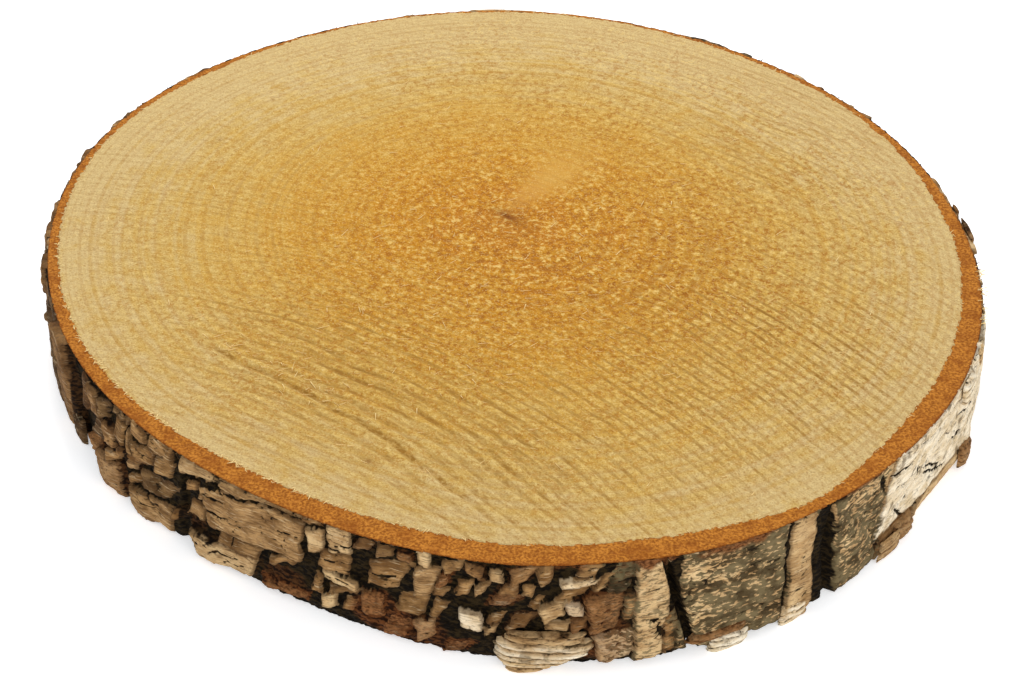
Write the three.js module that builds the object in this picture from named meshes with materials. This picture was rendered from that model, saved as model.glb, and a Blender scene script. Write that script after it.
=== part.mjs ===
// Wood slice: one round of birch sawn straight across a trunk, with its bark still on.
// It grew as one piece, so it is one solid: a flat sawn top, a flat sawn underside, and a
// side wall that follows the trunk's lobed outline, with the bark's furrows and foot lumps.
// Millimetres, +Z up. The middle of the underside is the origin.
import * as THREE from 'three';
import { mergeVertices } from 'three/addons/utils/BufferGeometryUtils.js';

// Driving dimensions
const THICKNESS = 37;
const MEAN_RADIUS = 150; // to the outside of the inner bark
const BARK_THICKNESS = 1.5; // of the outer bark, above its furrows
const SEGMENTS = 240; // around the trunk
const ROWS = 12; // up the side wall

// The trunk isn't round. Each wave adds its height toward one angle, and again at every lobe.
const TRUNK_WAVES = [
  { lobes: 2, height: 5.8, toward: -51 },
  { lobes: 3, height: 1.6, toward: 48 },
  { lobes: 4, height: 0.9, toward: 7 },
  { lobes: 5, height: 0.5, toward: -4 },
  { lobes: 6, height: 0.5, toward: -28 },
];

// Upright splits in the bark, leaning from one angle at the foot to another at the top.
const FURROWS = [
  { foot: -159, top: -155, depth: 4, width: 2.4 },
  { foot: -144, top: -142, depth: 2.5, width: 1.8 },
  { foot: -134, top: -132, depth: 2, width: 1.8 },
  { foot: -98, top: -98, depth: 1.6, width: 1.6 },
  { foot: -71.5, top: -75, depth: 4, width: 1.7 },
  { foot: -52, top: -56, depth: 4, width: 2 },
  { foot: 24, top: 27, depth: 2.5, width: 2 },
  { foot: 78, top: 74, depth: 2.5, width: 2.2 },
  { foot: 131, top: 134, depth: 2.5, width: 2 },
];

// Flakes and knobs that stand proud near the foot. Each height is that of the lump's middle.
const LUMPS = [
  { at: -87, height: 5, proud: 3, width: 4, tall: 6 },
  { at: -68.5, height: 2, proud: 2.5, width: 2.4, tall: 4 },
  { at: -40, height: 5, proud: 2.5, width: 2, tall: 5 },
  { at: -25, height: 6, proud: 2.5, width: 2, tall: 5 },
  { at: -156, height: 3, proud: 2, width: 2.4, tall: 5 },
];

// Where the wall leans in towards the foot, because the bark there has broken back.
const LEAN = { at: -36, inward: 5, width: 12 };
const FOOT_CHAMFER = { inward: 1.2, tall: 4 };

const between = (angle, other) => THREE.MathUtils.euclideanModulo(angle - other + 180, 360) - 180;
const bump = (distance, width) => Math.exp(-((distance / width) ** 2));

function trunkRadius(angle) {
  const wave = ({ lobes, height, toward }) =>
    height * Math.cos(THREE.MathUtils.degToRad(lobes * (angle - toward)));
  return TRUNK_WAVES.reduce((radius, each) => radius + wave(each), MEAN_RADIUS);
}

function barkRelief(angle, height) {
  const rise = height / THICKNESS;
  let relief = BARK_THICKNESS;
  for (const { foot, top, depth, width } of FURROWS) {
    const line = foot + (top - foot) * rise;
    relief -= depth * bump(between(angle, line), width);
  }
  for (const { at, height: middle, proud, width, tall } of LUMPS) {
    relief += proud * bump(between(angle, at), width) * bump(height - middle, tall);
  }
  relief -= LEAN.inward * (1 - rise) * bump(between(angle, LEAN.at), LEAN.width);
  return relief - FOOT_CHAMFER.inward * bump(height, FOOT_CHAMFER.tall);
}

// A closed unit cylinder, stood upright, whose wall is pushed out to the bark's surface.
function sliceGeometry() {
  let geometry = new THREE.CylinderGeometry(1, 1, THICKNESS, SEGMENTS, ROWS);
  geometry.rotateX(Math.PI / 2);
  geometry.translate(0, 0, THICKNESS / 2);
  geometry.deleteAttribute('normal');
  geometry.deleteAttribute('uv');
  geometry = mergeVertices(geometry, 1e-4);
  const points = geometry.getAttribute('position');
  for (let i = 0; i < points.count; i += 1) {
    const x = points.getX(i);
    const y = points.getY(i);
    const z = points.getZ(i);
    const angle = THREE.MathUtils.radToDeg(Math.atan2(y, x));
    const radius = trunkRadius(angle) + barkRelief(angle, z);
    points.setXYZ(i, x * radius, y * radius, z);
  }
  return centred(geometry);
}

// Moves the solid so that the middle of its box stands over the origin.
function centred(geometry) {
  geometry.computeBoundingBox();
  const middle = geometry.boundingBox.getCenter(new THREE.Vector3());
  geometry.translate(-middle.x, -middle.y, -geometry.boundingBox.min.z);
  geometry.computeVertexNormals();
  return geometry;
}

const birch = new THREE.MeshStandardMaterial({ color: 0xd8b873, roughness: 0.85, metalness: 0 });
const slice = new THREE.Mesh(sliceGeometry(), birch);
slice.name = 'wood_slice';

const model = new THREE.Group();
model.add(slice);

export default model;
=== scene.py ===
import math
import random

import bmesh
import bpy
from mathutils import Matrix, Vector, noise


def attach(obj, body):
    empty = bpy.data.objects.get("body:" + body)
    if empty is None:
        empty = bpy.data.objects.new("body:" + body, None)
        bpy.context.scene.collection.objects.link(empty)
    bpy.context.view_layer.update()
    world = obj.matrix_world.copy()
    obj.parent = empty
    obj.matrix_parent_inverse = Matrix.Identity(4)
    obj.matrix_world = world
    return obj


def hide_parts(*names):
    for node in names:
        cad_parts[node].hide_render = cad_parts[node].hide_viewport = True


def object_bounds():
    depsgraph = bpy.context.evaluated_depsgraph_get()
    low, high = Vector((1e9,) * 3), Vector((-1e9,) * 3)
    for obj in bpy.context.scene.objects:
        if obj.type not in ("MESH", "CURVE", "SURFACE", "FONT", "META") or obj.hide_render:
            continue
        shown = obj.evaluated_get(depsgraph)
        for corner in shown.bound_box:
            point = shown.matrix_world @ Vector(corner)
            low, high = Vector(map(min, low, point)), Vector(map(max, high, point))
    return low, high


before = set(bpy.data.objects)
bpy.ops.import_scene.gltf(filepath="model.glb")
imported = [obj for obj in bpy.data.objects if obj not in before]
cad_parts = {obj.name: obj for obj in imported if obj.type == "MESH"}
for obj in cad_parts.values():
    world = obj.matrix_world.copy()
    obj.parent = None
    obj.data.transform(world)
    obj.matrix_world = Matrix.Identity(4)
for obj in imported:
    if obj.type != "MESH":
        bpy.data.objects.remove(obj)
cad_low, cad_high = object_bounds()

# --- Camera, floor and light --------------------------------------------------------------
# A pale table top seen from above and in front, a white room, a broad lamp behind that comes in
# low enough to pick out the saw marks, and a broader one in front for the bark.
MM = 0.001
CAMERA_TILT = math.radians(37)
CAMERA_DISTANCE = 0.8192
CAMERA_AIM = Vector((0.0, -0.003, 0.0))
CAMERA_LENS = 87.9

camera = bpy.data.objects.new("camera", bpy.data.cameras.new("camera"))
camera.data.lens = CAMERA_LENS
camera.data.clip_start = 0.01
toward_camera = Vector((0, -math.cos(CAMERA_TILT), math.sin(CAMERA_TILT)))
camera.location = CAMERA_AIM + toward_camera * CAMERA_DISTANCE
camera.rotation_euler = (math.pi / 2 - CAMERA_TILT, 0, 0)
bpy.context.collection.objects.link(camera)
bpy.context.scene.camera = camera
bpy.context.scene.view_settings.view_transform = "Standard"

FLOOR_SIZE = 6.0
FLOOR_WHITE = (1.0, 1.0, 1.0, 1)
FLOOR_GLOW = 0.43  # a lit table top, so that hardly a shadow shows
ROOM_TINT = (0.93, 0.96, 1.0, 1)
ROOM_LIGHT = 0.72
floor_shape = bmesh.new()
bmesh.ops.create_grid(floor_shape, x_segments=1, y_segments=1, size=FLOOR_SIZE)
floor = bpy.data.objects.new("floor", bpy.data.meshes.new("floor"))
floor_shape.to_mesh(floor.data)
bpy.context.collection.objects.link(floor)
floor_paint = bpy.data.materials.new("floor_white")
floor_paint.use_nodes = True
floor_inputs = floor_paint.node_tree.nodes["Principled BSDF"].inputs
floor_inputs["Base Color"].default_value = FLOOR_WHITE
floor_inputs["Roughness"].default_value = 0.9
floor_inputs["Emission Color"].default_value = FLOOR_WHITE
floor_inputs["Emission Strength"].default_value = FLOOR_GLOW
floor.data.materials.append(floor_paint)

room = bpy.data.worlds.new("room")
room.use_nodes = True
room.node_tree.nodes["Background"].inputs["Color"].default_value = ROOM_TINT
room.node_tree.nodes["Background"].inputs["Strength"].default_value = ROOM_LIGHT
bpy.context.scene.world = room


def add_lamp(name, place, size, power, colour):
    """A square soft lamp at a place, pointed at the middle of the slice."""
    lamp = bpy.data.objects.new(name, bpy.data.lights.new(name, "AREA"))
    lamp.data.size = size
    lamp.data.energy = power
    lamp.data.color = colour
    lamp.location = place
    lamp.rotation_euler = (-Vector(place)).to_track_quat("-Z", "Y").to_euler()
    bpy.context.collection.objects.link(lamp)


add_lamp("window", place=(-0.15, 0.95, 0.85), size=0.5, power=7.5, colour=(1.0, 0.97, 0.92))
add_lamp("front_fill", place=(0.5, -1.4, 0.9), size=1.0, power=8.4, colour=(1.0, 0.98, 0.95))


# --- Sawn wood ----------------------------------------------------------------------------
# The trunk itself, birch, sawn straight across with a chainsaw. It is one closed slab: a fine
# grid drawn out to the trunk's outline, a coarser one for the underside, bridged at the edge.
# The saw's arcs, the rippled growth rings and the torn grain stand up from both faces.
THICKNESS = (cad_high.z - cad_low.z) / MM  # from here on sizes are in millimetres
MEAN_RADIUS = 150.0
RIM_STEPS = 1440
# How far the outline leaves a circle: how many lobes, how high, and where one points.
TRUNK_WAVES = [(2, 5.8, -51), (3, 1.6, 48), (4, 0.9, 7), (5, 0.5, -4), (6, 0.5, -28)]
PITH = Vector((-2.5, 15.7))
WOOD_CELLS = 290
UNDERSIDE_CELLS = 80
SAW_PIVOT = Vector((-176, -272))
SAW_PATCHES = [  # where the swinging saw marked the wood: middle, half width and strength
    ((-110, 20), 50, 0.35),
    ((-60, -60), 45, 0.8),
    ((20, -105), 50, 0.85),
    ((85, -55), 55, 1.0),
    ((95, 60), 45, 0.6),
    ((-20, 120), 40, 0.15),
]
SAW_PITCH = 3.5
SAW_RELIEF = 0.10
SECOND_PIVOT = Vector((-268, -327))
SECOND_PATCHES = [((-62, -62), 24, 0.7), ((-34, -86), 26, 1.0), ((-8, -112), 28, 1.0)]
SECOND_PITCH = 4.8
SECOND_RELIEF = 0.22
TEAR_SWING = 324.0  # the arc of the second cut that tore out worst
TEAR_DEPTH = 1.1
RIPPLE_PITCH = 6.2
RIPPLE_RELIEF = 0.16
FUZZ_RELIEF = 0.13
PITH_RELIEF = 0.12
TOP_MARGIN = 0.25  # how far the top's cut lies below the full thickness
FOOT_MARGIN = 0.3  # how far the underside's cut lies above the floor
FUZZ_PATCHES = [  # where the grain is torn up most
    ((-5, 5), 62, 0.7),
    ((55, -10), 45, 0.45),
    ((90, -40), 50, 0.3),
    ((-40, -55), 40, 0.35),
    ((30, -80), 50, 0.25),
    ((-85, -55), 35, 0.2),
    ((60, 85), 50, 0.25),
    ((115, 30), 35, 0.25),
    ((-15, 115), 40, 0.2),
]
SMEAR_MIDDLE = Vector((10, 36))
SMEAR_TURN = math.radians(54)
SPECKS = [(-4.5, 103), (-100, 62), (-13, 53), (-42, -109)]  # dark dots in the wood


def between(angle, other):
    """The turn from one angle to another, in degrees, the short way round."""
    return (angle - other + 180) % 360 - 180


def bump(distance, width):
    """A smooth hump: 1 in the middle, fading out a width or two away."""
    return math.exp(-((distance / width) ** 2))


def fade(value, low, high):
    """0 below the low level and 1 above the high one, with a smooth step between."""
    part = min(1.0, max(0.0, (value - low) / (high - low)))
    return part * part * (3 - 2 * part)


def trunk_radius(degrees):
    """From the trunk's middle to the outside of the inner bark."""
    waves = (
        height * math.cos(math.radians(lobes * (degrees - toward)))
        for lobes, height, toward in TRUNK_WAVES
    )
    return MEAN_RADIUS + sum(waves)


def around(degrees, reach, z=0.0):
    """The point at an angle and a distance from the trunk's middle."""
    turn = math.radians(degrees)
    return Vector((reach * math.cos(turn), reach * math.sin(turn), z))


def inner_bark_width(degrees):
    """The band of inner bark is broad in front and thin behind."""
    turn = math.radians(degrees)
    width = 5.2 - 3.3 * math.sin(turn) + 0.8 * math.cos(turn)
    width -= 3.9 * bump(between(degrees, -56), 9)
    width -= 1.9 * bump(between(degrees, -135), 35)
    width += 1.2 * bump(between(degrees, 12), 14) + 1.1 * bump(between(degrees, 135), 12)
    width += 1.4 * bump(between(degrees, -80), 10)
    width += 1.2 * bump(between(degrees, -15), 20)
    return width - 0.6 * bump(between(degrees, 172), 20)


def wood_radius(degrees):
    """From the trunk's middle to the edge of the wood, which wavers a little."""
    waver = 0.5 * noise.noise(around(degrees, 14)) + 0.2 * noise.noise(around(degrees, 60))
    waver += 0.28 * noise.noise(around(degrees, 240))
    return trunk_radius(degrees) - inner_bark_width(degrees) + waver


def trunk_shift():
    """What moves the trunk's middle so that the slice's box stands over the origin."""
    turns = [360 * step / RIM_STEPS for step in range(RIM_STEPS)]
    rim = [around(degrees, trunk_radius(degrees)) for degrees in turns]
    xs = [point.x for point in rim]
    ys = [point.y for point in rim]
    return Vector((-(max(xs) + min(xs)) / 2, -(max(ys) + min(ys)) / 2, 0))


SHIFT = trunk_shift()
INTO_FRAME = Matrix.Scale(MM, 4) @ Matrix.Translation(SHIFT)


def ring_of(x, y):
    """Which growth ring a point is on: 0 at the pith and 1 at the outside of the trunk."""
    share = 0.5
    for _ in range(5):
        middle = PITH * (1 - share)
        away = Vector((x, y)) - middle
        share = away.length / trunk_radius(math.degrees(math.atan2(away.y, away.x)))
    return share


def patches_at(point, patches):
    """How strong a mark is at a point, from the list of its patches."""
    return sum(
        depth * bump((point - Vector(middle)).length, width) for middle, width, depth in patches
    )


def arcs_at(point):
    """Which arc of the swinging saw a point is on, in millimetres, and how deep the arc is."""
    here = Vector((point.x, point.y, 2))
    swing = (point - SAW_PIVOT).length
    swing += 1.3 * noise.noise(here / 28) + 0.5 * noise.noise(here / 9)
    uneven = 1 + 0.8 * noise.noise(Vector((swing / 5, here.x / 60, 6)))
    return swing, uneven * (0.06 + patches_at(point, SAW_PATCHES))


def second_at(point):
    """The same for the second cut, whose ridges are coarser and steeper."""
    here = Vector((point.x, point.y, 9))
    swing = (point - SECOND_PIVOT).length
    swing += 2.2 * noise.noise(here / 26) + 0.6 * noise.noise(here / 8)
    uneven = 1 + 0.9 * noise.noise(Vector((swing / 8, here.x / 50, 3)))
    torn = fade(point.x, -96, -86) * (1 - fade(point.x, -68, -50))
    tear = TEAR_DEPTH * bump(swing - TEAR_SWING, 2) * torn
    return swing, uneven * patches_at(point, SECOND_PATCHES) + tear


def ripple_at(point, ring):
    """How strongly the growth rings tore into ridges, to the right of the pith."""
    away = point - PITH
    heading = math.degrees(math.atan2(away.y, away.x))
    return bump(between(heading, -30), 38) * bump(ring - 0.35, 0.15)


def smear_at(point):
    """The smooth pale streak that the saw burnished beside the pith."""
    away = point - SMEAR_MIDDLE
    along = away.x * math.cos(SMEAR_TURN) + away.y * math.sin(SMEAR_TURN)
    aside = away.y * math.cos(SMEAR_TURN) - away.x * math.sin(SMEAR_TURN)
    return bump(along, 19) * bump(aside, 3.5 + 0.16 * (along + 19))


def pith_at(point):
    """The dark crack at the pith, and the dark specks."""
    away = point - PITH
    along = (away.x - away.y) * math.sqrt(0.5)
    aside = (away.x + away.y) * math.sqrt(0.5)
    crack = 0.9 * bump(along, 4) * bump(aside, 0.9) + 0.28 * bump(along - 2, 9) * bump(aside, 4)
    return crack + sum(0.5 * bump((point - Vector(speck)).length, 1.2) for speck in SPECKS)


def fuzz_at(point, ring):
    """How torn the grain is: most at the heart and to the right, least at the left rim."""
    drift = 0.25 * noise.noise(Vector((point.x / 22, point.y / 22, 8)))
    fuzz = 0.3 + patches_at(point, FUZZ_PATCHES) + drift - 0.15 * fade(ring, 0.8, 0.97)
    return max(0.15, fuzz) * (1 - 0.9 * smear_at(point))


def sawn_height(point, marks):
    """How far the torn grain stands above the flat cut, in millimetres."""
    grain = noise.fractal(Vector((point.x / 1.5, point.y / 1.5, 5)), 0.8, 2.1, 2)
    waves = (
        (SAW_RELIEF * marks["arc_depth"], marks["arc"], SAW_PITCH),
        (SECOND_RELIEF * marks["second_depth"], marks["second"], SECOND_PITCH),
        (RIPPLE_RELIEF * marks["ripple"], marks["ring"] * MEAN_RADIUS, RIPPLE_PITCH),
    )
    height = sum(depth * math.cos(math.tau * where / pitch) for depth, where, pitch in waves)
    return height + FUZZ_RELIEF * marks["fuzz"] * grain - PITH_RELIEF * marks["pith"]


# What the mesh carries at its points for the material to read.
WOOD_LAYERS = [
    "ring", "arc", "along", "arc_depth", "second", "second_depth", "ripple", "smear", "pith", "fuzz"
]
ALONG_RADIUS = 320  # millimetres from the saw's pivot to the middle of the slice, about


def wood_marks(point):
    """Everything that the wood shows at a point, by the name of the mesh layer that holds it."""
    ring = ring_of(point.x, point.y)
    arc, arc_depth = arcs_at(point)
    second, second_depth = second_at(point)
    away = point - SAW_PIVOT
    along = math.atan2(away.y, away.x) * ALONG_RADIUS
    values = (ring, arc, along, arc_depth, second, second_depth, ripple_at(point, ring))
    values += (smear_at(point), pith_at(point), fuzz_at(point, ring))
    return dict(zip(WOOD_LAYERS, values))


def squared_to_round(x, y):
    """A point of the unit square drawn onto the unit disc."""
    return x * math.sqrt(1 - y * y / 2), y * math.sqrt(1 - x * x / 2)


def finish_piece(name, shape, paint):
    """Moves a piece into the frame, gives it its material, hangs it on the root body and hides the
    CAD slice.
    """
    shape.transform(INTO_FRAME)
    mesh = bpy.data.meshes.new(name)
    shape.to_mesh(mesh)
    shape.free()
    mesh.shade_smooth()
    mesh.materials.append(paint)
    piece = bpy.data.objects.new(name, mesh)
    bpy.context.collection.objects.link(piece)
    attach(piece, "root")
    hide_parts("wood_slice")
    return piece


def node(tree, kind, inputs=None, **settings):
    """One shader node with its settings made and its inputs set or joined up."""
    made = tree.nodes.new(kind)
    for name, value in settings.items():
        setattr(made, name, value)
    for name, value in (inputs or {}).items():
        if isinstance(value, bpy.types.NodeSocket):
            tree.links.new(value, made.inputs[name])
        else:
            made.inputs[name].default_value = value
    return made


def trunk_place(tree):
    """Where a point is on the trunk, in millimetres from its middle."""
    place = node(tree, "ShaderNodeTexCoord").outputs["Object"]
    inputs = {"Vector": place, "Scale": (1 / MM,) * 3, "Location": -SHIFT}
    return node(tree, "ShaderNodeMapping", inputs).outputs["Vector"]


def lumps(tree, place, size, detail=2.0, stretch=(1, 1, 1), offset=(0, 0, 0)):
    """Soft noise whose lumps are about a size in millimetres, drawn out where stretch < 1."""
    scale = tuple(each / size for each in stretch)
    spot = node(tree, "ShaderNodeMapping", {"Vector": place, "Scale": scale, "Location": offset})
    inputs = {"Vector": spot.outputs["Vector"], "Scale": 1.0, "Detail": detail}
    return node(tree, "ShaderNodeTexNoise", inputs).outputs["Fac"]


def faded(tree, value, low, high, out_low=0.0, out_high=1.0):
    """The value, faded smoothly from one level to the other."""
    inputs = {"Value": value, "From Min": low, "From Max": high}
    inputs.update({"To Min": out_low, "To Max": out_high})
    return node(
        tree, "ShaderNodeMapRange", inputs, interpolation_type="SMOOTHSTEP"
    ).outputs["Result"]


def arithmetic(tree, operation, first, second=0.0):
    """Arithmetic on one or two values."""
    made = node(tree, "ShaderNodeMath", operation=operation)
    for socket, value in zip(made.inputs, (first, second)):
        if isinstance(value, bpy.types.NodeSocket):
            tree.links.new(value, socket)
        else:
            socket.default_value = value
    return made.outputs[0]


def times(tree, first, second):
    """One value times another."""
    return arithmetic(tree, "MULTIPLY", first, second)


def plus(tree, first, second):
    """Two values added up."""
    return arithmetic(tree, "ADD", first, second)


def minus(tree, first, second):
    """One value less another."""
    return arithmetic(tree, "SUBTRACT", first, second)


def srgb(red, green, blue):
    """A colour as a paint chart gives it, 0 to 255, in the shader's own linear light."""
    def linear(level):
        part = level / 255
        return part / 12.92 if part <= 0.04045 else ((part + 0.055) / 1.055) ** 2.4
    return (linear(red), linear(green), linear(blue), 1.0)


def blend(tree, amount, first, second):
    """Two colours mixed, the second by an amount."""
    made = node(tree, "ShaderNodeMix", data_type="RGBA")
    for index, value in ((0, amount), (6, first), (7, second)):
        if isinstance(value, bpy.types.NodeSocket):
            tree.links.new(value, made.inputs[index])
        else:
            made.inputs[index].default_value = value
    return made.outputs[2]


def attribute(tree, name):
    """A number that the mesh carries at its points."""
    return node(tree, "ShaderNodeAttribute", attribute_name=name).outputs["Fac"]


def new_material(name):
    """A material with its tree, and its one shader."""
    paint = bpy.data.materials.new(name)
    paint.use_nodes = True
    return paint, paint.node_tree, paint.node_tree.nodes["Principled BSDF"]


def relief(tree, height, strength=1.0):
    """Fine relief from a height in millimetres."""
    inputs = {"Height": height, "Distance": MM, "Strength": strength}
    return node(tree, "ShaderNodeBump", inputs).outputs["Normal"]


def ring_noise(tree, ring, width, detail):
    """Noise that changes only from ring to ring, about a width in millimetres at a time."""
    inputs = {"W": times(tree, ring, MEAN_RADIUS / width), "Scale": 1.0, "Detail": detail}
    return node(tree, "ShaderNodeTexNoise", inputs, noise_dimensions="1D").outputs["Fac"]


def stripes(tree, where, pitch, thin, strength):
    """Dark stripes a pitch apart in millimetres: a lower level called thin makes them thinner."""
    turn = times(tree, where, math.tau / pitch)
    wave = faded(tree, arithmetic(tree, "COSINE", turn), thin, -0.9)
    return times(tree, wave, strength)


def sawn_wood_material():
    """Gold at the heart and straw at the rim, with torn grain, faint rings and saw lines."""
    paint, tree, shader = new_material("sawn_wood")
    place = trunk_place(tree)
    marks = {name: attribute(tree, name) for name in WOOD_LAYERS}
    tuft = lumps(tree, place, 1.7, 3.0, offset=(0, 0, 9))
    fine = lumps(tree, place, 0.55, 2.0, offset=(3, 0, 2))
    patches = lumps(tree, place, 55, 2.0, offset=(2, 5, 1))
    cloud = lumps(tree, place, 9, 2.0, offset=(6, 2, 1))
    ring_line = ring_noise(tree, marks["ring"], 3.0, 2.0)
    across = node(tree, "ShaderNodeSeparateXYZ", {"Vector": place}).outputs
    # Painted light: the sawn top is painted paler toward the back and a little toward the right,
    # where more light falls on it.
    behind = faded(tree, across["Y"], -60, 130, -0.04, 0.12)
    right = faded(tree, across["X"], 40, 110, 0.0, 0.03)
    heart = faded(tree, marks["ring"], 0.46, 0.56, -0.05, 0.05)
    ripe = plus(tree, plus(tree, plus(tree, marks["ring"], behind), right), heart)
    for value, amount in ((patches, 0.16), (ring_line, 0.34), (cloud, 0.45), (tuft, 0.3)):
        ripe = plus(tree, ripe, times(tree, minus(tree, value, 0.5), amount))
    tones = node(tree, "ShaderNodeValToRGB", {"Fac": ripe})
    steps = [
        (0.02, srgb(196, 124, 12)), (0.14, srgb(204, 138, 20)), (0.4, srgb(207, 153, 52)),
        (0.65, srgb(209, 166, 78)), (0.82, srgb(208, 173, 99)), (0.99, srgb(212, 184, 126)),
    ]
    while len(tones.color_ramp.elements) < len(steps):
        tones.color_ramp.elements.new(0.5)
    for element, (at, colour) in zip(tones.color_ramp.elements, steps):
        element.position = at
        element.color = colour
    fuzz = marks["fuzz"]
    # The torn grain is painted darker in the hollows and paler on the tufts of its relief: its own
    # flecks, with painted shade in the hollows and painted highlight on the tufts.
    pit_shade = times(tree, faded(tree, tuft, 0.52, 0.34), fuzz)
    tip_highlight = times(tree, faded(tree, tuft, 0.54, 0.70), fuzz)
    on_arc = node(tree, "ShaderNodeCombineXYZ", {"X": marks["arc"], "Y": marks["along"]})
    on_arc = on_arc.outputs["Vector"]
    thread = lumps(tree, on_arc, 0.8, 3.0, stretch=(1, 0.35, 1))
    sawn = plus(tree, marks["arc_depth"], 0.35)
    dark_thread = times(tree, faded(tree, thread, 0.47, 0.33), sawn)
    light_thread = times(tree, faded(tree, thread, 0.54, 0.68), sawn)
    gaps = faded(tree, lumps(tree, on_arc, 2.4, 2.0, stretch=(1, 0.2, 1)), 0.36, 0.6, 0.4, 1.25)
    broken = times(tree, faded(tree, tuft, 0.35, 0.6, 0.25, 1.0), gaps)
    # The saw arcs, the second cut's ridges and the rippled rings are darkened along the troughs of
    # their relief: partly the marks' own dark lines, partly painted shade.
    arcs = stripes(tree, marks["arc"], SAW_PITCH, -0.05, times(tree, marks["arc_depth"], broken))
    ridges = times(tree, marks["second_depth"], broken)
    ridges = stripes(tree, marks["second"], SECOND_PITCH, 0.3, ridges)
    ring_mm = times(tree, marks["ring"], MEAN_RADIUS)
    ripples = stripes(tree, ring_mm, RIPPLE_PITCH, 0.2, times(tree, marks["ripple"], broken))
    hoops = times(tree, faded(tree, ring_noise(tree, marks["ring"], 1.9, 1.0), 0.5, 0.34), broken)
    colour = tones.outputs["Color"]
    for mask, amount, tint in (
        (pit_shade, 0.8, (164, 98, 8)),
        (tip_highlight, 0.8, (242, 204, 118)),
        (faded(tree, fine, 0.46, 0.3), 0.5, (160, 104, 30)),
        (faded(tree, fine, 0.55, 0.7), 0.5, (244, 216, 146)),
        (dark_thread, 0.32, (150, 104, 36)),
        (light_thread, 0.28, (238, 206, 138)),
        (arcs, 0.62, (154, 110, 38)),
        (ridges, 0.64, (154, 110, 38)),
        (ripples, 0.55, (170, 108, 26)),
        (hoops, 0.3, (166, 112, 36)),
        (marks["smear"], 0.42, (222, 176, 92)),
        (marks["pith"], 1.0, (128, 70, 14)),
    ):
        colour = blend(tree, times(tree, mask, amount), colour, srgb(*tint))
    tree.links.new(colour, shader.inputs["Base Color"])
    shader.inputs["Roughness"].default_value = 0.85
    shader.inputs["Specular IOR Level"].default_value = 0.2
    height = times(tree, times(tree, tuft, fuzz), 0.9)
    height = plus(tree, height, times(tree, fine, 0.3))
    tree.links.new(relief(tree, height, 0.8), shader.inputs["Normal"])
    return paint


wood = bmesh.new()
for layer_name in WOOD_LAYERS:
    wood.verts.layers.float.new(layer_name)
bmesh.ops.create_grid(wood, x_segments=WOOD_CELLS, y_segments=WOOD_CELLS, size=1)
bmesh.ops.translate(wood, verts=wood.verts[:], vec=(0, 0, 1))
bmesh.ops.create_grid(wood, x_segments=UNDERSIDE_CELLS, y_segments=UNDERSIDE_CELLS, size=1)
bmesh.ops.bridge_loops(wood, edges=[edge for edge in wood.edges if edge.is_boundary])
for vert in wood.verts:
    x, y = squared_to_round(vert.co.x, vert.co.y)
    degrees = math.degrees(math.atan2(y, x))
    spot = around(degrees, math.hypot(x, y) * wood_radius(degrees))
    marks = wood_marks(spot.xy)
    for layer_name, value in marks.items():
        vert[wood.verts.layers.float[layer_name]] = value
    lift = sawn_height(spot.xy, marks)
    spot.z = THICKNESS - TOP_MARGIN + lift if vert.co.z > 0.5 else FOOT_MARGIN - 0.5 * lift
    vert.co = spot
bmesh.ops.recalc_face_normals(wood, faces=wood.faces[:])
sawn_wood = finish_piece("sawn_wood", wood, sawn_wood_material())


# --- Inner bark ---------------------------------------------------------------------------
# The living layer between wood and bark, sawn through with them: a band of soft orange-brown
# grain round the wood. It is a closed ring, rolled up from a strip.
INNER_STEPS = 1500
INNER_ROWS = (8, 12, 3, 3)  # rows up the outside, over the top, down the inside, and back
INNER_MARGIN = 0.25  # how far the band keeps inside the full thickness, above and below
FRONT = -90  # where the steps round the trunk are closest together
CROWDING = 26


def section_of(row, rows):
    """Walks round a ring's section: up its outside, in over the top, down its inside, back.

    Gives how far out the point is, 0 to 1, and how high it is, 0 to 1.
    """
    rise, across, fall, back = rows
    if row < rise:
        return 1.0, row / rise
    row -= rise
    if row < across:
        return 1.0 - row / across, 1.0
    row -= across
    if row < fall:
        return 0.0, 1.0 - row / fall
    return (row - fall) / back, 0.0


def turn_of(share):
    """The angle of a step round the trunk: the steps are closer together in front."""
    degrees = 360 * share - 180
    return degrees - CROWDING * math.sin(math.radians(degrees - FRONT)) - CROWDING


def rolled_ring(steps, rows, layers, place_point):
    """A strip rolled up into a closed ring, with each point put where place_point says."""
    around_section = sum(rows)
    ring = bmesh.new()
    bmesh.ops.create_grid(ring, x_segments=steps, y_segments=around_section, size=1)
    for name in layers:
        ring.verts.layers.float.new(name)
    for vert in ring.verts:
        step = round((vert.co.x + 1) / 2 * steps) % steps
        row = round((vert.co.y + 1) / 2 * around_section) % around_section
        degrees = between(turn_of(step / steps), 0)
        place_point(vert, ring, degrees, *section_of(row, rows))
    bmesh.ops.remove_doubles(ring, verts=ring.verts[:], dist=1e-5)
    bmesh.ops.recalc_face_normals(ring, faces=ring.faces[:])
    return ring


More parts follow.
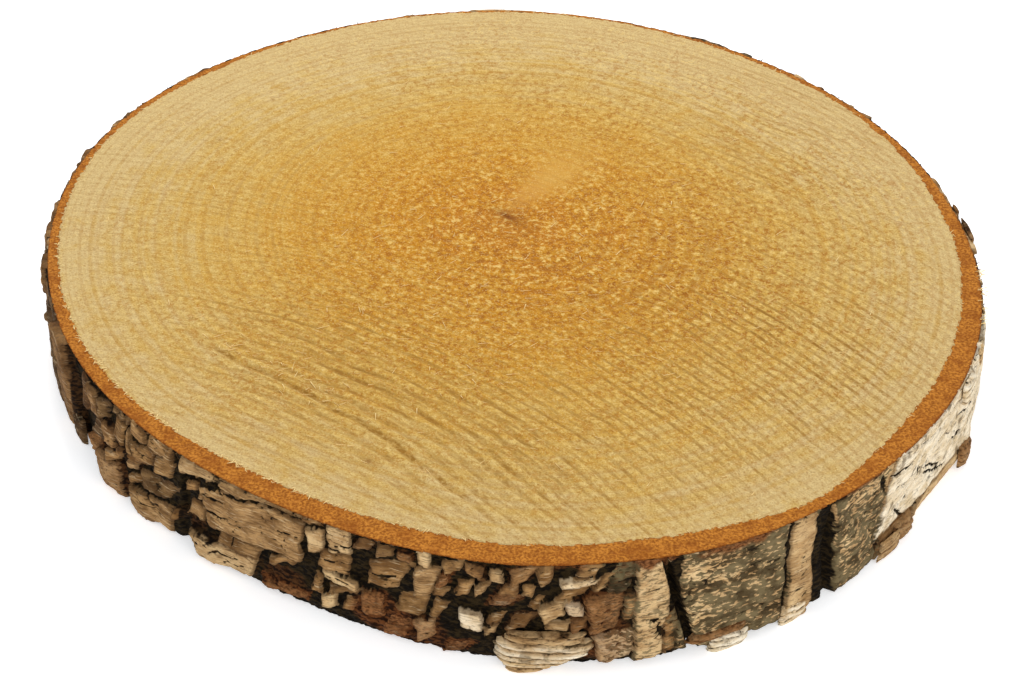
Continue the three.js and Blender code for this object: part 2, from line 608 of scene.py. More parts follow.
def inner_bark_material():
    """Saturated orange-brown, granular, darker and redder toward the outside."""
    paint, tree, shader = new_material("inner_bark")
    place = trunk_place(tree)
    grain = lumps(tree, place, 0.8, 3.0)
    streak = lumps(tree, place, 6, 2.0, offset=(4, 4, 4))
    patch = lumps(tree, place, 2.2, 3.0, offset=(7, 1, 4))
    grainy = faded(tree, grain, 0.35, 0.65)
    colour = blend(tree, grainy, srgb(148, 84, 22), srgb(205, 132, 48))
    for mask, tint in (
        (faded(tree, streak, 0.45, 0.7, 0, 0.6), (146, 78, 16)),
        (faded(tree, patch, 0.52, 0.68, 0, 0.35), (128, 68, 18)),
        (faded(tree, patch, 0.44, 0.32, 0, 0.4), (218, 142, 56)),
        (faded(tree, attribute(tree, "out"), 0.86, 1.0, 0, 0.4), (120, 50, 20)),
    ):
        colour = blend(tree, mask, colour, srgb(*tint))
    tree.links.new(colour, shader.inputs["Base Color"])
    shader.inputs["Roughness"].default_value = 0.9
    shader.inputs["Specular IOR Level"].default_value = 0.15
    tree.links.new(relief(tree, times(tree, grain, 0.5), 0.8), shader.inputs["Normal"])
    return paint


def hollow_at(degrees):
    """How far the trunk is hollowed on its right side, where most of the outer bark is lost."""
    return 2.3 * bump(between(degrees, 8), 28)


def inner_bark_reach(degrees):
    """From the trunk's middle to the outside of the inner bark."""
    behind = max(0.0, math.sin(math.radians(degrees)))
    bulge = 1.9 * bump(between(degrees, -122), 28) - 1.2 * bump(between(degrees, -80), 8)
    return trunk_radius(degrees) - 0.6 - 0.6 * behind + bulge - hollow_at(degrees)


def bark_seat(degrees, z):
    """Where the outer bark meets the inner bark, which is thinner below its sawn top."""
    top = inner_bark_reach(degrees)
    low = wood_radius(degrees) + 0.3
    return low + (top - low) * max(0.0, 1 - (THICKNESS - z) / 3)


def place_inner_bark(vert, ring, degrees, out, up):
    """Sets one point of the band between the wood and the bark, grainy on its sawn top."""
    z = up * (THICKNESS - 2 * INNER_MARGIN) + INNER_MARGIN
    inside = wood_radius(degrees) - 0.4
    reach = inside + out * (bark_seat(degrees, up * THICKNESS) - inside)
    if up == 1.0:
        z += 0.25 * noise.fractal(around(degrees, reach) / 1.6, 0.8, 2.0, 3)
    vert.co = around(degrees, reach, z)
    vert[ring.verts.layers.float["out"]] = out


inner_bark = finish_piece(
    "inner_bark",
    rolled_ring(INNER_STEPS, INNER_ROWS, ["out"], place_inner_bark),
    inner_bark_material(),
)

# --- Outer bark ---------------------------------------------------------------------------
# Birch bark of an old trunk: taupe and cream plates over dark cracks, split by deep upright
# furrows, with mottled grey-green stretches between them, and broken back along its foot.
# It is a closed ring rolled up from a strip, whose outside is pushed out plate by plate.
BARK_STEPS = 1440
BARK_ROWS = (60, 4, 2, 3)
DEGREE = math.radians(1) * MEAN_RADIUS  # millimetres of bark to one degree
# The plates of the front: the angles they run between, the heights they run between in
# millimetres, how cream each one is and how rusty.
PLATES = [
    (-171, -164.4, -1, 38, -0.15, 0.1), (-164, -158.4, 1, 38, -0.35, 0.2),
    (-154.4, -151.6, 23, 35.5, -0.35, 0.3), (-151.2, -148.9, 25, 35.5, -0.2, 0.1),
    (-148.6, -146.4, 27.5, 35, -0.1, 0), (-150.8, -148.3, 17, 23.5, -0.1, 0.1),
    (-148, -145.8, 18.5, 26, 0.3, 0.2), (-151.6, -149.4, 10, 16.5, 0.1, 0.5),
    (-149.8, -145, -1, 13.2, 0.3, 0.35), (-147.3, -144.8, 13.6, 18, 0.3, 0.1),
    (-145.6, -141.6, 23, 32.3, 0.25, 0), (-145.2, -141.6, 33, 38, 0.25, 0),
    (-141.3, -138.4, 31.4, 38, 0.3, 0), (-138.2, -133.6, 30.6, 38, 0.3, 0),
    (-141.3, -137.4, 23.6, 29.8, 0.3, 0), (-137.2, -134.2, 23.2, 29.8, 0.35, 0),
    (-145, -139.8, 20.2, 22.6, 0.2, 0.2), (-143.8, -141.2, 16.4, 19.6, 0.2, 0.2),
    (-140.4, -134.8, 13, 20.4, 0.5, 0), (-142.6, -140.4, 11.8, 15.8, 0.3, 0),
    (-142.8, -135.2, 0.5, 11.2, 0.4, 0), (-135, -132.8, 9.4, 13, 0.3, 0.1),
    (-132.4, -126.6, 32.2, 38, 0.25, 0), (-127, -114.6, 33.8, 38, 0.25, 0),
    (-131.6, -129.9, 24.6, 28.2, 0.4, 0.1), (-129.6, -128.2, 24, 27, 0.45, 0),
    (-131.6, -128.9, 15.6, 21.2, 0.45, 0), (-128.7, -114.5, 16.8, 33.2, 0.22, 0),
    (-126.8, -120.9, 10.7, 16.2, 0.3, 0), (-131.2, -121.9, 1.6, 10.2, 0.45, 0.1),
    (-119.5, -116.1, 13.2, 16.4, 0.55, 0), (-120.6, -114.5, 3, 6, 0.2, 0.8),
    (-114.2, -111.6, 34.6, 38, 0.3, 0.1), (-113.7, -111.4, 24.6, 33.4, 0.55, 0),
    (-111, -107.9, 27.6, 38, 0.55, 0), (-112.2, -108.2, 20.3, 27, 0.6, 0),
    (-111.8, -107.2, 15.6, 19.9, 0.5, 0), (-113.3, -112, 9.5, 16.5, 0.5, 0),
    (-111.2, -107.8, 11.8, 15.1, 0.6, 0), (-112.2, -110.2, 5.5, 11.2, 0.55, 0),
    (-109.4, -108.1, 6.5, 11.4, 0.65, 0), (-107.4, -105.3, 31.4, 36.6, 0.5, 0.2),
    (-105.1, -102.9, 31.6, 36.4, 0.15, 0), (-106, -101.9, 20, 29.8, 0.77, 0),
    (-102.5, -100.9, 31.8, 35.4, 0.25, 0.5), (-100.3, -98.7, 32.2, 38, 0.6, 0),
    (-100.8, -98.3, 21.6, 31.6, 0.7, 0.05), (-98.6, -97.1, 21.6, 25, 0.65, 0),
    (-98.2, -97, 25.6, 30, 0.25, 0.7), (-97.6, -95.5, 31.8, 37, 0.45, 0),
    (-96.2, -94.6, 23.8, 29.8, 0.65, 0), (-94.4, -92.9, 25.4, 29.4, 0.5, 0),
    (-95.2, -93.2, 31.5, 36, 0.1, 0.2), (-92.6, -91.1, 30.4, 36, 0.55, 0),
    (-90.6, -88.3, 30.4, 36.6, 0.65, 0.3), (-91.4, -89.8, 26, 29.9, 0.7, 0.2),
    (-92.4, -90, 21.8, 25.6, 0.4, 0.5), (-89.3, -88.1, 26.4, 29.8, 0.75, 0),
    (-88.3, -87.3, 22, 26.4, 0.95, 0), (-87.7, -85, 18.2, 24.8, 0.35, 0),
    (-87, -84.5, 14.4, 17.8, 0.85, 0), (-84.3, -82.8, 14.6, 18.6, 0.4, 0.4),
    (-90.5, -88.3, 14, 19.4, 0.7, 0.2), (-92.9, -91.3, 15, 18.8, 0.65, 0),
    (-96.1, -93.4, 12.2, 19, 0.75, 0), (-93.4, -92, 11.2, 14.6, 0.65, 0),
    (-102.7, -99.7, 12.4, 20.2, 0.75, 0), (-99.1, -97.4, 13.4, 19.6, 0.8, 0),
    (-100.8, -98.6, 4.5, 12, 0.5, 0.4), (-107, -104.4, 8, 16.5, 0.3, 0.8),
    (-104.2, -101.6, 2, 9, 0.3, 0.8), (-97.5, -95.4, 1, 5, 0.3, 0.7),
    (-85.5, -81.3, 30.8, 33.6, 0.87, 0), (-83.8, -81.5, 33.2, 38, 0.75, 0),
    (-85.5, -82.6, 25.8, 30.4, 0.8, 0), (-84.9, -83.1, 19.6, 25.4, 0.7, 0.3),
    (-82.1, -80.3, 28.6, 34.4, 0.85, 0), (-82.8, -79.4, 13.6, 27, 0.3, 0.6),
    (-88, -86.2, 31.5, 38, 0.1, 0), (-79.2, -78, 17.6, 27, 0.35, 0.1),
    (-81.9, -78, 2.6, 13, 0.85, 0.3), (-80.1, -78.1, 27.6, 38, 0.1, 0),
    (-78, -74.3, 2.5, 38, 0.7, 0), (-75.6, -73.3, 3, 17, 0.6, 0.1),
    (-73.4, -61.2, 2.5, 38, 1.05, 0), (-60.8, -57.4, -1, 38, 1.0, 0),
    (-54.9, -46, 1, 38, 1.25, 0), (-46.5, -39.2, 1.5, 8.2, 0.6, 0.2),
    (-46.3, -14, 7.6, 38, 1.4, 0), (-38.8, -14, -1, 8, 1.1, 0.1),
]
# The rest of the way round: for each stretch the angles it runs between, how long and how
# tall its plates are, how cream they are, and how closely they are strewn, from 0 to 1.
STRETCHES = [
    (-13.6, 6, 14, 12, 0.7, 0.95), (6, 26, 32, 20, 0.95, 1), (26, 52, 8, 7, 0.5, 0.85),
    (52, 76, 18, 16, 0.4, 1), (76, 104, 42, 20, 0.95, 1), (104, 133, 24, 14, 0.75, 1),
    (133, 158, 10, 8, 0.35, 0.85), (158, 188.6, 9, 16, 0.25, 0.95),
]
# Upright splits: the angle at the foot and at the top, the depth, and the half width in
# degrees at the foot and at the top.
FURROWS = [
    (-156.4, -155.6, 2.6, 3.7, 1.9), (-143.8, -142.6, 2.0, 0.8, 0.2),
    (-133.7, -132.2, 1.8, 0.8, 0.4), (-71.4, -74.9, 4.0, 0.5, 0.35),
    (-54.4, -55.8, 4.0, 0.5, 0.65), (4, 8, 1.5, 0.6, 0.6),
    (24, 27, 2.6, 1.3, 0.9), (52, 50, 1.8, 0.8, 0.6),
    (78, 74, 2.6, 1.2, 1.0), (104, 107, 1.6, 0.6, 0.5),
    (131, 134, 2.6, 1.3, 0.9), (158, 157, 2.0, 0.9, 0.8),
]
# Cracks within the plates: the angle and height of both ends, the half width and the depth.
CRACKS = [
    (-131.6, 29.8, -125.8, 32.8, 0.8, 1.6), (-125.8, 31.4, -119.6, 34.2, 0.3, 0.7),
    (-119, 34.4, -114.3, 35.4, 0.3, 0.7), (-128.5, 27.8, -125.2, 28.2, 0.35, 0.8),
    (-128.5, 22.2, -124.6, 23, 0.4, 0.9), (-117.8, 26.8, -114.3, 27.2, 0.25, 0.6),
    (-124.6, 16.4, -124.8, 12, 0.25, 0.6), (-142.6, 7.4, -136.4, 6.2, 0.25, 0.6),
    (-141.6, 9.6, -137.2, 9.2, 0.2, 0.5), (-130.6, 6.2, -124, 7.4, 0.25, 0.6),
    (-127, 4.2, -122.5, 6, 0.25, 0.6), (-106, 24.4, -103, 23.8, 0.3, 0.8),
    (-110.9, 29.8, -108.2, 30.6, 0.25, 0.6), (-112.2, 23.2, -109.4, 24, 0.25, 0.6),
    (-111.6, 17.6, -108, 18.2, 0.25, 0.6), (-141.2, 27, -138, 26.2, 0.25, 0.5),
    (-37.6, 19, -33, 14.6, 0.35, 0.7), (-36.8, 16, -31, 11, 0.4, 0.8),
    (-40.6, 33.8, -33.6, 30.6, 0.3, 0.9), (-33.4, 33, -26, 30.2, 0.3, 1.0),
    (-44, 24, -36, 20.5, 0.25, 0.7), (-39, 26, -30, 22, 0.25, 0.6), (-30, 26, -22, 21, 0.3, 0.8),
    (-47.2, 34, -46.4, 28, 0.9, 0.9), (-45.6, 31, -41.2, 29.6, 0.5, 0.8),
    (-30.5, 18.6, -28, 18, 0.6, 0.9), (-43.6, 15, -41, 8, 0.5, 0.7),
    (-76.4, 17, -75.6, 16.6, 0.5, 0.8), (-75.6, 14, -74.8, 9.6, 0.6, 0.9),
]
# Where moss and lichen hold: the angles, and how much there is.
MOSSY = [(-81, -77.9, 0.6), (-77.9, -74.4, 0.22), (-74.2, -60.9, 1.0), (-57.4, -53, 0.4),
         (-54.8, -46.2, 0.85), (52, 76, 0.9), (-30, 2, 0.1)]
# Knobs near the foot: angle, height of the middle, how proud, half width and height.
KNOBS = [(-147.6, 6, 1.4, 2.0, 8), (-40, 5, 1.4, 2.0, 4), (-25, 6, 2.0, 2.0, 5)]
# Patches with no plates left: angle, height, half width and height, and how rusty it is.
SCARS = [
    (-117.6, 8.6, 3.4, 3.6, 0.35), (-131, 12, 1.6, 1.6, 0.3), (-104.5, 8, 4.5, 8, 0.85),
    (-100, 5, 3, 7, 0.6), (-80.6, 9, 2.4, 10, 0.5), (-83, 7, 1.6, 5, 0.8), (146, 20, 4, 6, 0.6),
    (-67, 37, 5, 2.6, 1.0), (-76, 37, 2.5, 2.0, 1.0), (-50.5, 37.4, 3.4, 1.8, 0.8),
    (-84.5, 37, 2, 1.6, 0.7),
]
# Pale patches in the mottled bark: angle, height, half width and height.
PALE = [(-71.2, 31, 2.6, 5), (-71.6, 15, 1.0, 5), (-50, 34, 3.2, 3.6), (-53.2, 20, 0.8, 12),
        (-68.4, 26, 1.6, 2), (-60.4, 8, 1.0, 6), (-59.2, 24, 1.2, 9)]
BARK_LAYERS = ["plate", "edge", "shade", "cream", "moss", "rust", "pale"]
STREWN = 4  # how many plates are strewn where one full-sized one would fit
# Where the foot of the bark, and its top, are broken away: the angle, half width and depth.
BROKEN_FOOT = (-36, 12, 5.0)
BROKEN_TOP = (-6, 15, 1.6)


def lay_plates(picks):
    """Scatters the plates of the stretches behind; where two overlap a crack runs between."""
    plates = []
    for start, end, long, tall, cream, share in STRETCHES:
        area = (end - start) * DEGREE * (THICKNESS + 4)
        count = round(STREWN * share * area / (long * tall))
        for _ in range(count):
            middle = picks.uniform(start, end)
            height = picks.uniform(-2, THICKNESS + 2)
            wide = long * picks.uniform(0.5, 1.3) / DEGREE
            high = tall * picks.uniform(0.4, 1.2)
            plates.append((
                max(start, middle - wide / 2), min(end, middle + wide / 2),
                height - high / 2, height + high / 2,
                cream * picks.uniform(0.7, 1.1), 0.2 * picks.random(),
            ))
    return plates


def plates_by_degree(plates):
    """The plates sorted by the whole degrees that they touch."""
    spots = {}
    for plate in plates:
        for degree in range(math.floor(plate[0]) - 2, math.ceil(plate[1]) + 3):
            spots.setdefault(degree % 360, []).append(plate)
    return spots


PLATE_SPOTS = plates_by_degree(PLATES + lay_plates(random.Random(5)))
ASIDE = Vector((30, 30, 30))


def plates_at(degrees, z):
    """The bark's plates at a point.

    Gives how much plate there is, how far in from its edge the point is, how the plate's tilt
    lifts it, and the plate's own shade, cream and rust.
    """
    here = around(degrees, MEAN_RADIUS, z)
    along = 0.9 * noise.noise(here / 4.5) + 0.5 * noise.noise(here / 1.5)
    height = z + 0.9 * noise.noise(here / 4.5 + ASIDE) + 0.45 * noise.noise(here / 1.5 + ASIDE)
    best, second, chosen = -1.0, -1.0, None
    for plate in PLATE_SPOTS.get(math.floor(degrees) % 360, ()):
        left, right, low, high = plate[:4]
        key = noise.cell(Vector((left * 3.3 + 0.5, low * 3.3 + 0.5, 0.5)))
        up = height - (low + high) / 2
        turn = noise.cell(Vector((low * 2.7 + 0.5, left * 2.1 + 0.5, 3.5)))
        wide, tall = (right - left) * DEGREE, high - low
        lean = (key - 0.5) * 0.5 * min(1.0, 5 / tall)
        u = between(degrees, (left + right) / 2) * DEGREE + along + lean * up
        side = wide / 2 - abs(u) * (1 + (turn - 0.5) * 0.35 * up / tall)
        slant = (turn - 0.5) * 0.5 * min(1.0, 4 / wide)
        edge = tall / 2 - abs(up + slant * u)
        inside = min(side, edge, (side + edge) * 0.85 - 0.1)
        if inside > best:
            tilt = min(0.8, max(-0.8, (turn - 0.5) * 0.3 * u + (key - 0.6) * 0.25 * up))
            best, second, chosen = inside, best, (tilt, key, plate[4], plate[5])
        elif inside > second:
            second = inside
    if chosen is None:
        return 0.0, 0.0, 0.0, 0.5, 0.3, 0.0
    best = min(best, 0.7 * (best - second))
    return (fade(best, -0.25, 0.3), fade(best, 0.0, 1.5), *chosen)


def furrow_at(degrees, up):
    """How deep the upright splits go at a point, in millimetres."""
    depth = 0.0
    for foot, top, deep, foot_width, top_width in FURROWS:
        turn = abs(between(degrees, foot + (top - foot) * up))
        if turn < 5:
            width = foot_width + (top_width - foot_width) * up
            depth += deep * math.exp(-((turn / width) ** 4))
    return depth


def crack_at(degrees, z):
    """How deep the cracks within the plates go at a point, in millimetres."""
    here = around(degrees, MEAN_RADIUS, z)
    deepest = 0.0
    for left, foot, right, top, width, depth in CRACKS:
        if left - 1 < degrees < right + 1:
            start = Vector((left * DEGREE, foot))
            end = Vector((right * DEGREE, top))
            spot = Vector((degrees * DEGREE, z + 0.7 * noise.noise(here / 3)))
            share = (spot - start).dot(end - start) / (end - start).length_squared
            share = min(1.0, max(0.0, share))
            away = (spot - start.lerp(end, share)).length
            width *= 0.35 + 1.3 * math.sin(math.pi * (0.1 + 0.8 * share))
            deepest = max(deepest, depth * (1 - fade(away, 0.4 * width, 1.3 * width)))
    return deepest


def bark_at(degrees, z):
    """The bark at a point: how proud it is, and the numbers that colour it."""
    up = z / THICKNESS
    here = around(degrees, MEAN_RADIUS, z)
    plate, edge, tilt, shade, cream, rust = plates_at(degrees, z)
    slit = abs(noise.noise(Vector((degrees * DEGREE / 9, z / 1.7, 4))))
    slit = (1 - fade(slit, 0.02, 0.09)) * fade(noise.noise(here / 7), -0.2, 0.1)
    furrow = furrow_at(degrees, up)
    crack = crack_at(degrees, z)
    proud = (1.7 + 1.0 * shade + tilt) * plate + 0.3 * edge - 0.45 * slit * plate
    proud -= furrow + crack
    for at, height, out, width, tall in KNOBS:
        if abs(between(degrees, at)) < 3 * width:
            proud += out * bump(between(degrees, at), width) * bump(z - height, tall)
    for at, height, width, tall, rusty in SCARS:
        if abs(between(degrees, at)) < 3 * width:
            scar = bump(between(degrees, at) + 0.6 * noise.noise(here / 3), width)
            scar = fade(scar * bump(z - height + 2 * noise.noise(here / 4), tall), 0.3, 0.6)
            proud += (0.8 * noise.noise(here / 2.2) - 0.5 * plate) * scar
            rust = max(rust, rusty * scar)
    wavy = degrees + 0.8 * noise.noise(here / 4)
    moss = sum(
        each * fade(wavy, left - 0.3, left + 0.3) * (1 - fade(wavy, right - 0.3, right + 0.3))
        for left, right, each in MOSSY
    )
    pale = sum(
        bump(between(degrees, at) + 0.5 * noise.noise(here / 2), width) * bump(z - height, tall)
        for at, height, width, tall in PALE
    )
    rough = 0.16 + 0.35 * (1 - plate) + 0.22 * moss
    proud += rough * noise.fractal(here / 1.9, 0.8, 2.1, 3) + 0.5 * noise.noise(here / 6)
    at, width, depth = BROKEN_FOOT
    proud -= depth * (1 - up) * bump(between(degrees, at), width)
    at, width, depth = BROKEN_TOP
    proud -= depth * fade(up, 0.3, 0.9) * bump(between(degrees, at), width)
    chips = 0.8 + 1.8 * max(0.0, noise.noise(here / 6))
    proud -= chips * bump(z, 2.2)
    # Furrows, cracks and slits take the near-black crack colour, more as they run deeper: the
    # bark's own dark fissures, deepened with painted shade.
    dark_and_shade = max(fade(furrow, 0.5, 1.6), fade(crack, 0.2, 0.7), 0.6 * slit)
    return proud, plate * (1 - dark_and_shade), edge, shade, cream, moss, rust, pale


def bark_floor(degrees):
    """From the trunk's middle to the floor of the bark's cracks."""
    behind = max(0.0, math.sin(math.radians(degrees)))
    return trunk_radius(degrees) - 0.9 - 0.6 * behind - hollow_at(degrees)


def place_bark(vert, ring, degrees, out, up):
    """Sets one point of the bark, and the numbers that colour it there."""
    layers = ring.verts.layers.float
    here = around(degrees, MEAN_RADIUS)
    z = up * THICKNESS
    proud, *colours = bark_at(degrees, z)
    behind = max(0.0, math.sin(math.radians(degrees)))
    rim = fade(up, 0.96, 1.0)
    proud *= 1 - rim * (0.25 + 0.35 * behind)
    seat = bark_seat(degrees, z) - 0.3
    face = max(bark_floor(degrees) + proud, seat + 0.7)
    if up == 1.0:
        z -= 0.3 + 0.8 * max(0.0, noise.noise(here / 2.1) + 0.2) * out
    if up == 0.0:
        z += 0.9 * max(0.0, noise.noise(here / 3.3)) * out
    vert.co = around(degrees, seat + out * (face - seat), z)
    for name, value in zip(BARK_LAYERS, colours):
        vert[layers[name]] = value


def outer_bark_material():
    """Taupe to cream plates over near-black cracks, mottled where moss and lichen hold."""
    paint, tree, shader = new_material("outer_bark")
    place = trunk_place(tree)
    plate, edge, shade, cream, moss, rust, pale = (attribute(tree, name) for name in BARK_LAYERS)
    coarse = lumps(tree, place, 6, 3.0, stretch=(1, 1, 1.6), offset=(1, 2, 3))
    grain = lumps(tree, place, 1.1, 3.0, stretch=(1, 1, 2.2))
    lines = lumps(tree, place, 1.6, 3.0, stretch=(0.35, 0.35, 3.0), offset=(4, 1, 0))
    specks = lumps(tree, place, 1.5, 5.0, stretch=(0.7, 0.7, 1.7), offset=(8, 1, 6))
    tone = faded(tree, coarse, 0.35, 0.65)
    taupe = blend(tree, tone, srgb(114, 80, 44), srgb(168, 128, 80))
    white = blend(tree, tone, srgb(222, 202, 166), srgb(250, 238, 214))
    own = times(tree, minus(tree, shade, 0.45), 0.6)
    bright = plus(tree, plus(tree, cream, own), times(tree, pale, 0.2))
    brown = blend(tree, tone, srgb(52, 38, 22), srgb(104, 80, 52))
    taupe = blend(tree, faded(tree, bright, -0.5, 0.15), brown, taupe)
    tan = blend(tree, tone, srgb(194, 156, 106), srgb(222, 190, 140))
    colour = blend(tree, faded(tree, bright, 0.3, 0.85), taupe, tan)
    colour = blend(tree, faded(tree, bright, 0.8, 1.15), colour, white)
    line = faded(tree, bright, 0.6, 1.1, 0.6, 0.3)
    line = times(tree, faded(tree, lines, 0.48, 0.34), line)
    stain = lumps(tree, place, 5, 4.0, stretch=(1, 1, 0.8), offset=(2, 7, 5))
    stained = faded(tree, bright, 0.8, 1.1, 0, 0.75)
    for mask, tint in (
        (line, (88, 62, 38)),
        (times(tree, faded(tree, stain, 0.57, 0.66), stained), (98, 80, 54)),
        (faded(tree, lines, 0.56, 0.72, 0, 0.4), (226, 200, 158)),
        (faded(tree, grain, 0.46, 0.3, 0, 0.5), (84, 62, 44)),
        # Painted shade: each plate is darkened toward its rim.
        (faded(tree, edge, 0.9, 0.1, 0, 0.55), (70, 50, 32)),
    ):
        colour = blend(tree, mask, colour, srgb(*tint))
    growth = minus(tree, moss, times(tree, pale, 0.6))
    lichen = plus(tree, specks, times(tree, growth, 0.2))
    lichen = times(tree, faded(tree, lichen, 0.565, 0.655), faded(tree, moss, 0.02, 0.3))
    dark_moss = blend(tree, tone, srgb(48, 40, 24), srgb(104, 92, 64))
    colour = blend(tree, times(tree, lichen, 0.9), colour, dark_moss)
    rusty = times(tree, rust, faded(tree, coarse, 0.3, 0.55, 0.5, 1.0))
    grainy = faded(tree, grain, 0.35, 0.65)
    rust_paint = blend(tree, grainy, srgb(80, 44, 20), srgb(142, 92, 54))
    colour = blend(tree, rusty, colour, rust_paint)
    # Near-black in the cracks and gaps between the plates: the bark's own dark fissures, with
    # painted shade where they run deep.
    gap = blend(tree, faded(tree, specks, 0.42, 0.62), srgb(16, 11, 6), srgb(46, 35, 18))
    red_gap = blend(tree, faded(tree, specks, 0.4, 0.6), srgb(40, 20, 9), srgb(112, 66, 34))
    gap = blend(tree, rust, gap, red_gap)
    rough_plate = plus(tree, plate, times(tree, minus(tree, grain, 0.5), 0.5))
    colour = blend(tree, faded(tree, rough_plate, 0.35, 0.7), gap, colour)
    tree.links.new(colour, shader.inputs["Base Color"])
    tree.links.new(faded(tree, grain, 0.3, 0.7, 0.75, 0.95), shader.inputs["Roughness"])
    shader.inputs["Specular IOR Level"].default_value = 0.06
    height = plus(tree, times(tree, grain, 0.4), times(tree, lines, 0.5))
    height = plus(tree, height, times(tree, specks, 0.4))
    tree.links.new(relief(tree, height, 0.9), shader.inputs["Normal"])
    return paint


outer_bark = finish_piece(
    "outer_bark",
    rolled_ring(BARK_STEPS, BARK_ROWS, BARK_LAYERS, place_bark),
    outer_bark_material(),
)

# --- Bark flakes --------------------------------------------------------------------------
# Loose bits of bark on the outside: a thick layered flake and a small pale one at the foot,
# spurs, a peeling curl, and the splinters that stand up round the sawn rim.
# Angles, heights, seat and thickness in millimetres, lean, taper, cream and rust. The first
# five are the courses of the thick flake.
FLAKES = [
    (-91.0, -83.2, 10.4, 13.4, 1.0, 3.6, -0.06, 0.1, 0.6, 0.15),
    (-91.7, -82.4, 7.9, 10.9, 1.0, 4.3, -0.02, 0.1, 0.9, 0.05),
    (-91.9, -82.8, 5.3, 8.4, 1.0, 4.6, 0.04, 0.15, 0.95, 0.0),
    (-91.7, -84.6, 2.7, 5.7, 1.0, 4.3, 0.08, 0.2, 0.88, 0.0),
    (-91.0, -86.4, 0.2, 3.2, 1.0, 3.8, 0.1, 0.3, 0.6, 0.1),
    (-69.9, -65.6, 0.2, 5.6, 1.0, 3.0, -0.05, 0.15, 1.1, 0.0),
    (-72.2, -66.0, 5.6, 8.4, 1.2, 3.0, -0.2, 0.2, 0.4, 0.55),
    (-61.6, -58.2, 0.2, 6.6, 1.0, 1.8, 0.0, 0.2, 0.95, 0.0),
    (-160.2, -156.8, 0.1, 9.0, -0.6, 2.2, 0.0, 0.0, -0.5, 0.1),
    (-46.4, -42.8, 1.0, 7.0, 0.2, 1.4, -0.1, 0.0, 0.6, 0.2),
    (-43.0, -39.4, 1.2, 7.4, -3.4, 4.6, -0.1, 0.2, 0.5, 0.4),
    (-27.2, -24.0, 1.6, 9.0, 1.0, 2.6, 0.0, 0.0, 0.45, 0.5),
    (-29.4, -26.0, 29.5, 37.4, 1.2, 2.0, 0.15, 0.0, 1.0, 0.0),
    (-22.4, -20.4, 31.0, 36.6, 1.2, 1.2, 0.1, 0.0, 0.7, 0.1),
    (0.6, 5.2, 30.0, 37.3, 1.0, 1.8, 0.0, 0.0, -0.2, 0.3),
    (7.0, 8.6, 32.0, 37.2, 1.0, 1.2, 0.0, 0.0, -0.2, 0.4),
]
FLAKE_CUTS = 14
HIGHEST = 37.6  # how high a flake may stand: just over the sawn face
SPLINTERS = 90


def add_flake(shape, flake):
    """One flake: a cube bent onto the trunk, thinner at its edges, in ragged layers."""
    left, right, low, high, seat, thick, lean, taper, cream, rust = flake
    block = bmesh.new()
    for name in BARK_LAYERS:
        block.verts.layers.float.new(name)
    bmesh.ops.create_cube(block, size=2)
    bmesh.ops.subdivide_edges(block, edges=block.edges[:], cuts=FLAKE_CUTS, use_grid_fill=True)
    layers = block.verts.layers.float
    for vert in block.verts:
        u, v, w = vert.co
        key = Vector((u * 2 + left, v * 2, low))
        v += 0.24 * noise.noise(key * 1.1) + 0.16 * noise.noise(key * 3.5)
        u += 0.16 * noise.noise(key * 1.7 + ASIDE) + 0.08 * noise.noise(key * 5) - lean * v
        degrees = (left + right) / 2 + u * (right - left) / 2
        z = (low + high) / 2 + v * (1 - taper * max(0.0, u)) * (high - low) / 2
        z += taper * 3 * u
        course = 0.5 + 0.5 * math.sin(2.8 * z + 1.8 * noise.noise(Vector((degrees, z / 3, 1))))
        course = math.sqrt(course)
        round_off = max(0.25, 1 - 0.4 * abs(u) ** 6 - 0.35 * abs(v) ** 6)
        out = thick * (w + 1) / 2 * round_off * (0.72 + 0.28 * course)
        vert.co = around(degrees, bark_floor(degrees) + seat + out, min(max(z, 0.1), HIGHEST))
        # Between its courses the flake has less plate, edge and shade, so its grooves take the dark
        # crack colour and the darkened rim: the layers' own dark edges, with painted shade.
        shade = 0.25 + 0.6 * course * (0.6 + 0.4 * noise.noise(key * 2))
        values = (0.4 + 0.6 * course, 0.4 + 0.6 * course, shade, cream, 0.0, rust, 0.0)
        for name, value in zip(BARK_LAYERS, values):
            vert[layers[name]] = value
    bent = bpy.data.meshes.new("flake")
    block.to_mesh(bent)
    block.free()
    shape.from_mesh(bent)
    bpy.data.meshes.remove(bent)


def add_splinter(shape, picks):
    """One dark splinter of bark, upright on the rim or leaning out from it."""
    degrees = picks.choice([picks.uniform(8, 172), picks.uniform(-28, 8)])
    made = bmesh.ops.create_cone(
        shape, cap_ends=True, segments=3, radius1=picks.uniform(0.25, 0.6), radius2=0.05,
        depth=picks.uniform(1.6, 3.4),
    )["verts"]
    tilt = Matrix.Rotation(math.radians(picks.uniform(20, 80)), 4, "Y")
    turn = Matrix.Rotation(math.radians(degrees + picks.uniform(-60, 60)), 4, "Z")
    spot = around(degrees, bark_floor(degrees) + picks.uniform(0, 0.8), picks.uniform(34.8, 36.4))
    bmesh.ops.transform(shape, matrix=Matrix.Translation(spot) @ turn @ tilt, verts=made)


flakes = bmesh.new()
for layer_name in BARK_LAYERS:
    flakes.verts.layers.float.new(layer_name)
for flake in FLAKES:
    add_flake(flakes, flake)
picks = random.Random(11)
for _ in range(SPLINTERS):
    add_splinter(flakes, picks)
bmesh.ops.recalc_face_normals(flakes, faces=flakes.faces[:])
bark_flakes = finish_piece("bark_flakes", flakes, outer_bark.data.materials[0])

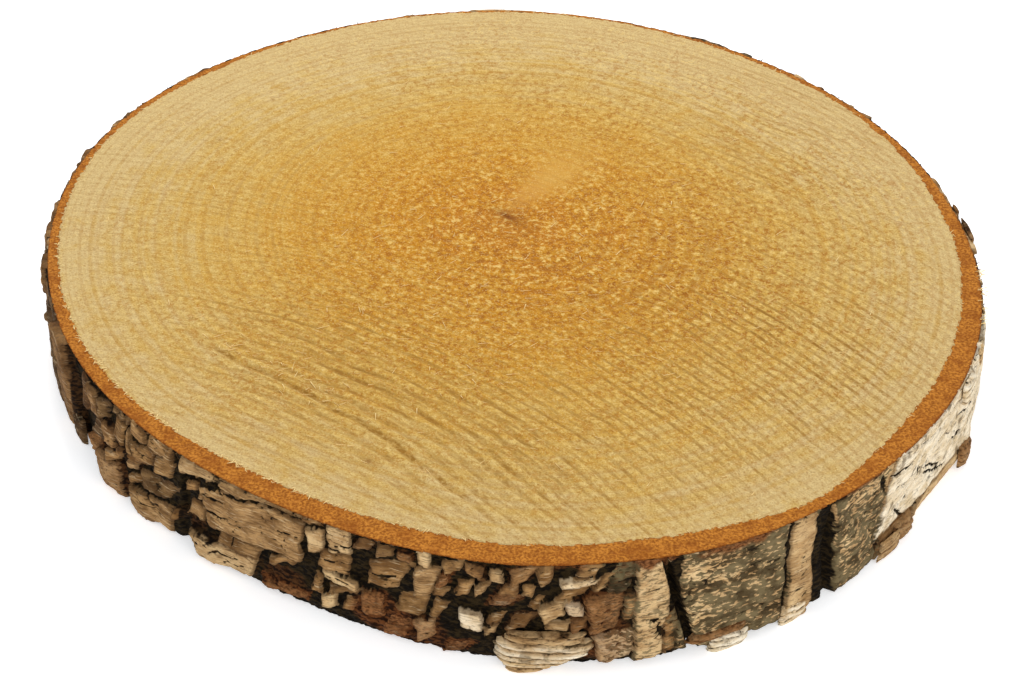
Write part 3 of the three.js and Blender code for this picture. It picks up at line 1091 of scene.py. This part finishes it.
# --- Torn fibres --------------------------------------------------------------------------
# Pale hairs of wood that the saw tore loose and left lying on the cut and over its edge.
# Each is a thin three-sided sliver.
FIBRES = 300  # where the cut is torn
EDGE_FIBRES = 190  # round the edge of the wood
TEAR_FIBRES = 40  # beside the torn groove
RIM_FIBRES = 22  # hanging over the bark on the right
FIBRE_PAINT = (246, 216, 148)


def torn_fibre_material():
    """Clean pale wood."""
    paint, tree, shader = new_material("torn_fibre")
    shader.inputs["Base Color"].default_value = srgb(*FIBRE_PAINT)
    shader.inputs["Roughness"].default_value = 0.8
    return paint


def add_fibre(shape, picks, spot, heading, longest):
    """One hair of wood, lying on the cut with its tip a little up."""
    length = picks.uniform(0.35, 1.0) * longest
    made = bmesh.ops.create_cone(
        shape, cap_ends=True, segments=3, radius1=picks.uniform(0.12, 0.24), radius2=0.05,
        depth=length,
    )["verts"]
    turn = Matrix.Rotation(math.radians(heading), 4, "Z")
    tilt = Matrix.Rotation(math.radians(picks.uniform(72, 88)), 4, "Y")
    spot = Vector((spot.x, spot.y, THICKNESS - 0.1 + picks.uniform(0, 0.15)))
    bmesh.ops.transform(shape, matrix=Matrix.Translation(spot) @ turn @ tilt, verts=made)


fibres = bmesh.new()
picks = random.Random(23)
laid = 0
while laid < FIBRES:
    spot = around(picks.uniform(0, 360), 142 * math.sqrt(picks.random()))
    torn = fuzz_at(spot.xy, ring_of(spot.x, spot.y)) + patches_at(spot.xy, SECOND_PATCHES) * 0.6
    if picks.random() < 0.8 * torn ** 2:
        add_fibre(fibres, picks, spot, picks.gauss(-20, 40), 4.2)
        laid += 1
for _ in range(EDGE_FIBRES):
    degrees = picks.choice([picks.uniform(-180, -95), picks.uniform(-180, 180)])
    spot = around(degrees, wood_radius(degrees) + picks.uniform(-0.8, 0.6))
    add_fibre(fibres, picks, spot, degrees + picks.gauss(0, 45), 2.0)
for _ in range(TEAR_FIBRES):
    aim = math.radians(picks.uniform(48, 58))
    reach = TEAR_SWING + picks.gauss(3, 2)
    spot = Vector((
        SECOND_PIVOT.x + reach * math.cos(aim), SECOND_PIVOT.y + reach * math.sin(aim), 0
    ))
    add_fibre(fibres, picks, spot, math.degrees(aim) + picks.gauss(-70, 35), 3.6)
for _ in range(RIM_FIBRES):
    degrees = picks.uniform(-17, -4)
    spot = around(degrees, inner_bark_reach(degrees) + picks.uniform(0.2, 1.4))
    add_fibre(fibres, picks, spot, degrees + picks.gauss(20, 40), 5.0)
bmesh.ops.recalc_face_normals(fibres, faces=fibres.faces[:])
torn_fibres = finish_piece("torn_fibres", fibres, torn_fibre_material())
torn_fibres.data.shade_flat()
